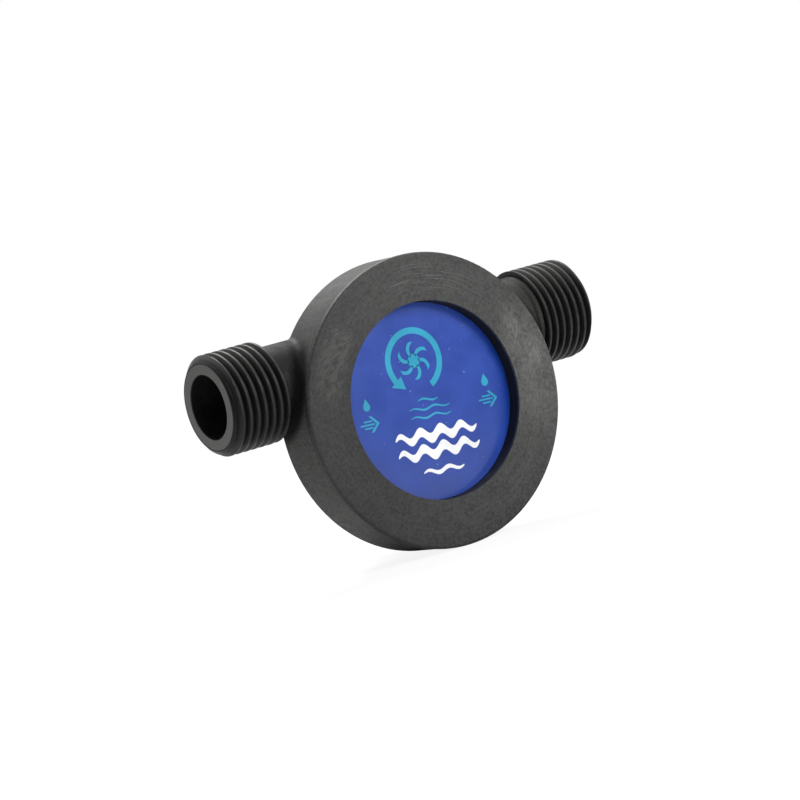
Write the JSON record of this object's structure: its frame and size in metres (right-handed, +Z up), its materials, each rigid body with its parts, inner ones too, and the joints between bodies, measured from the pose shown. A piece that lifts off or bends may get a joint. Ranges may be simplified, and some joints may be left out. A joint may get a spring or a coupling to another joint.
{
  "type": "drill powered pump",
  "caption": "Hand-sized flexible-impeller pump with a round black housing, two in-line threaded ports and a steel shaft for a drill chuck.",
  "frame": {"origin": "on the shaft's axis, where the plain length for the drill's chuck starts, behind the rear retaining clip", "axes": "+X runs along the ports from inlet to outlet, +Y is the drill's side along the shaft, +Z is up with the ports above the shaft"},
  "size_m": [0.0898, 0.0633, 0.0604],
  "materials": {
    "moulded_body": "dark grey glass-filled plastic, matt with scuffs",
    "label_film": "printed blue film, satin",
    "seal_rubber": "black nitrile",
    "cam_plastic": "natural acetal",
    "plated_steel": "bright zinc plate",
    "stainless": "stainless steel",
    "bronze": "sintered bronze",
    "impeller_rubber": "black moulded rubber",
    "brass_bush": "turned brass",
    "shaft_steel": "ground stainless steel",
    "spring_steel": "phosphated spring steel",
    "washer_nylon": "natural nylon"
  },
  "bodies": {
    "housing": {"front_cover": "moulded_body", "front_label": "label_film", "cover_seal": "seal_rubber", "pump_body": "moulded_body", "inlet_thread": "moulded_body", "outlet_thread": "moulded_body", "cam": "cam_plastic", "cam_screw": "plated_steel", "cam_screw_washer": "seal_rubber", "cover_screws": "plated_steel", "front_wear_plate": "stainless", "rear_wear_plate": "stainless", "seal_case": "stainless", "seal_lip": "seal_rubber", "garter_spring": "stainless", "front_bushing": "bronze", "rear_bushing": "bronze"},
    "rotor": {"impeller": "impeller_rubber", "impeller_bush": "brass_bush", "drive_pin": "stainless", "drive_shaft": "shaft_steel", "front_clip": "spring_steel", "rear_clip": "spring_steel", "thrust_washer": "washer_nylon"}
  },
  "joints": [
    {"name": "shaft_spin", "type": "hinge", "parent": "housing", "child": "rotor", "pos_m": [0, 0, 0], "axis": [0, -1, 0], "continuous": true, "deforming": ["impeller"]}
  ]
}
